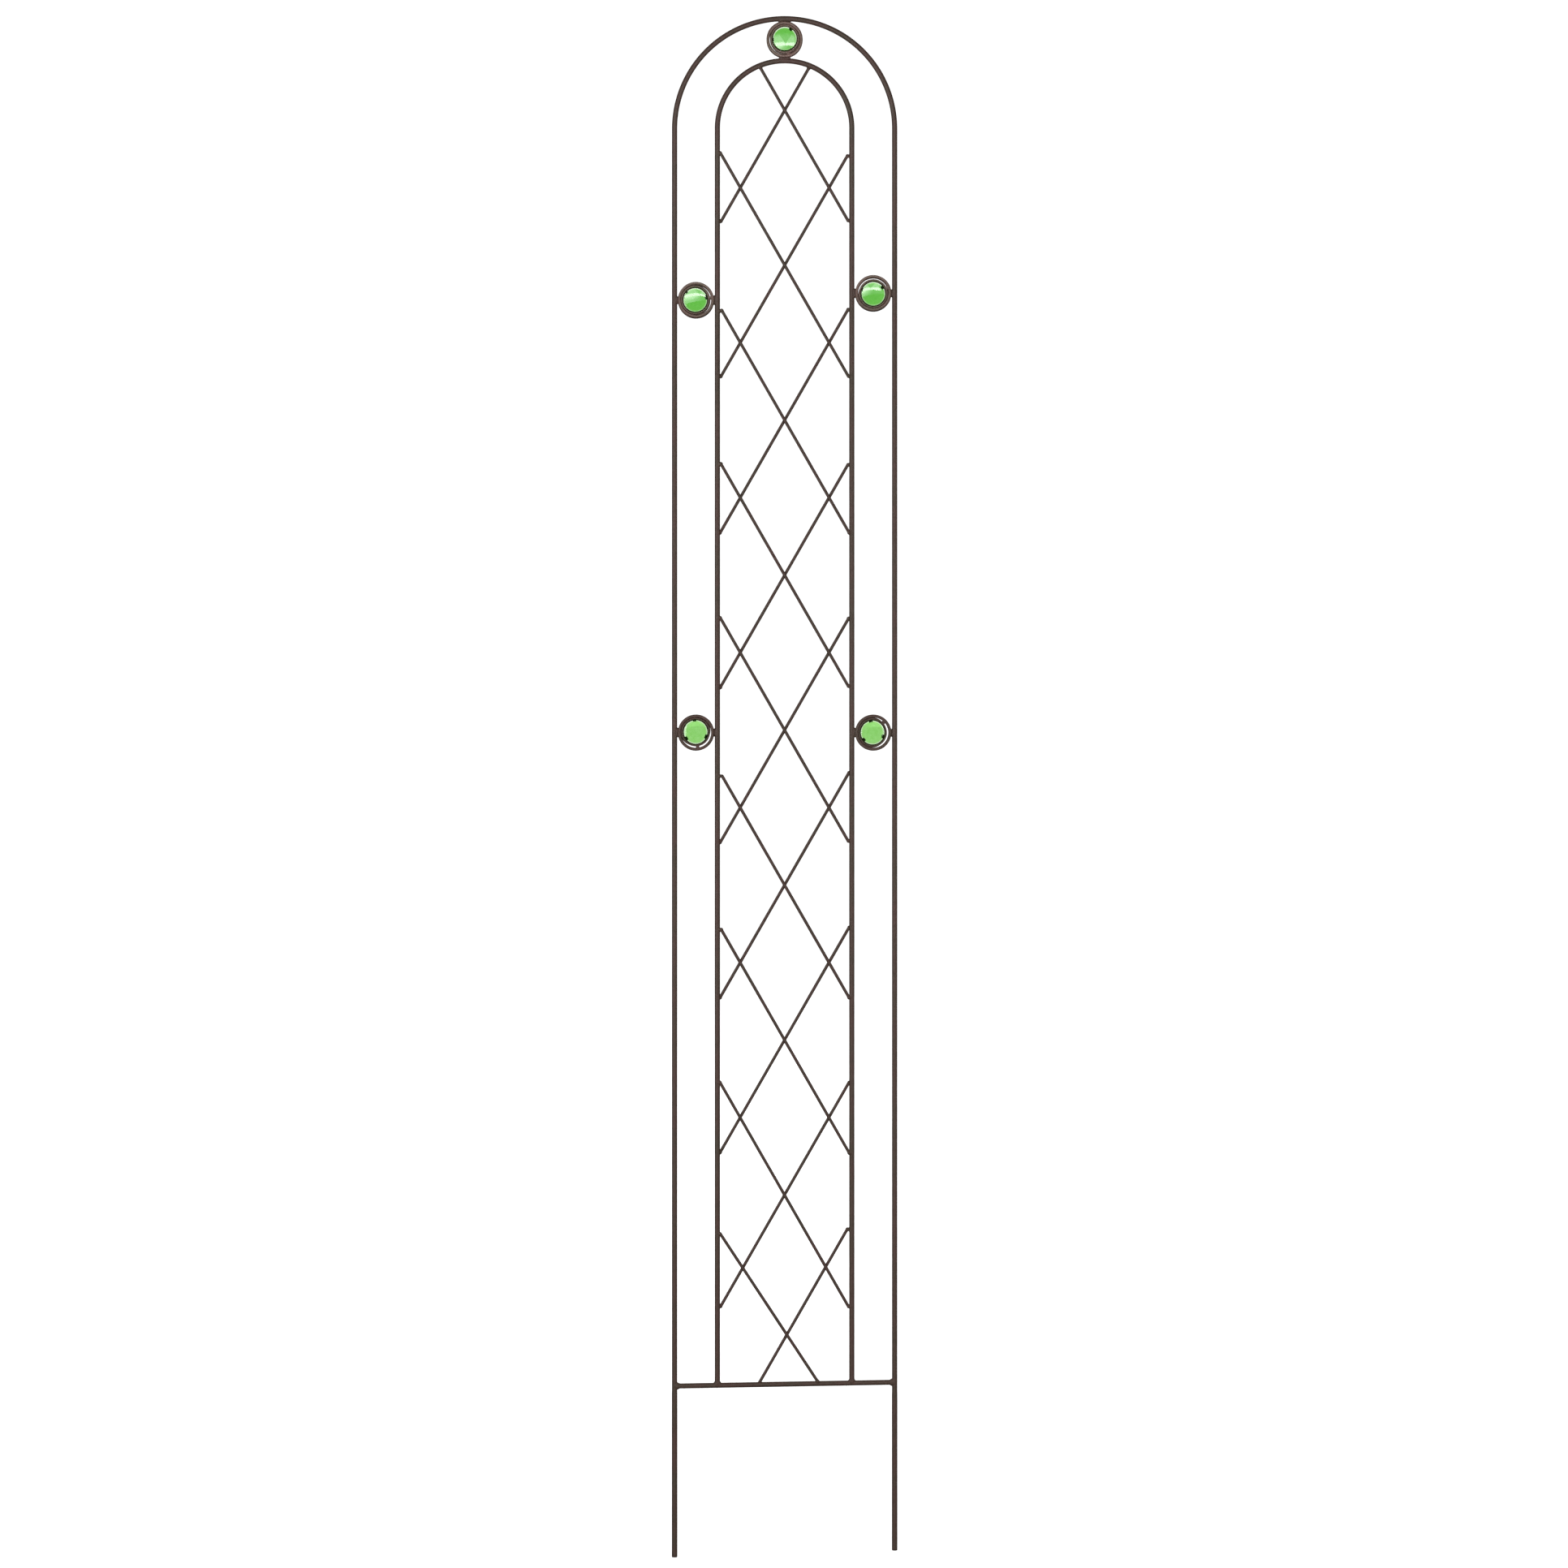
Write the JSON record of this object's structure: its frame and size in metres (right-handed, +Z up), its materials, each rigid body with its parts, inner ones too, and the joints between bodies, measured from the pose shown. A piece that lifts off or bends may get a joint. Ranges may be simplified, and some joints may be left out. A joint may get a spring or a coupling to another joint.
{
  "type": "garden trellis",
  "caption": "Tall flat arched plant support: a double bent-bar frame with a diamond lattice of wires and round green glass gems held between the bars.",
  "frame": {"origin": "on the ground midway between the two legs, in the plane of the frame, level with the end of the longer left leg", "axes": "+Z up, +X to the right seen from the front, the front faces -Y"},
  "size_m": [0.2636, 0.0101, 1.8],
  "materials": {
    "coated_bar": "dark brown powder coat, satin",
    "coated_wire": "dark brown powder coat, satin",
    "coated_band": "dark brown powder coat, satin",
    "coated_weld": "dark brown powder coat over weld metal, lumpy",
    "gem_glass": "polished transparent green glass"
  },
  "bodies": {
    "root": {"outer_frame_rod": "coated_bar", "inner_frame_rod": "coated_bar", "crossbar": "coated_bar", "front_wire_1": "coated_wire", "front_wire_2": "coated_wire", "front_wire_3": "coated_wire", "front_wire_4": "coated_wire", "front_wire_5": "coated_wire", "front_wire_6": "coated_wire", "front_wire_7": "coated_wire", "front_wire_8": "coated_wire", "front_wire_9": "coated_wire", "back_wire_1": "coated_wire", "back_wire_2": "coated_wire", "back_wire_3": "coated_wire", "back_wire_4": "coated_wire", "back_wire_5": "coated_wire", "back_wire_6": "coated_wire", "back_wire_7": "coated_wire", "back_wire_8": "coated_wire", "back_wire_9": "coated_wire", "ring_top": "coated_band", "ring_upper_left": "coated_band", "ring_upper_right": "coated_band", "ring_lower_left": "coated_band", "ring_lower_right": "coated_band", "bezel_top": "coated_band", "bezel_upper_left": "coated_band", "bezel_upper_right": "coated_band", "bezel_lower_left": "coated_band", "bezel_lower_right": "coated_band", "glass_top": "gem_glass", "glass_upper_left": "gem_glass", "glass_upper_right": "gem_glass", "glass_lower_left": "gem_glass", "glass_lower_right": "gem_glass", "crossbar_welds": "coated_weld", "ring_welds": "coated_weld", "bezel_tack_welds": "coated_weld", "wire_end_welds": "coated_weld", "wire_crossing_welds": "coated_weld"}
  },
  "joints": []
}
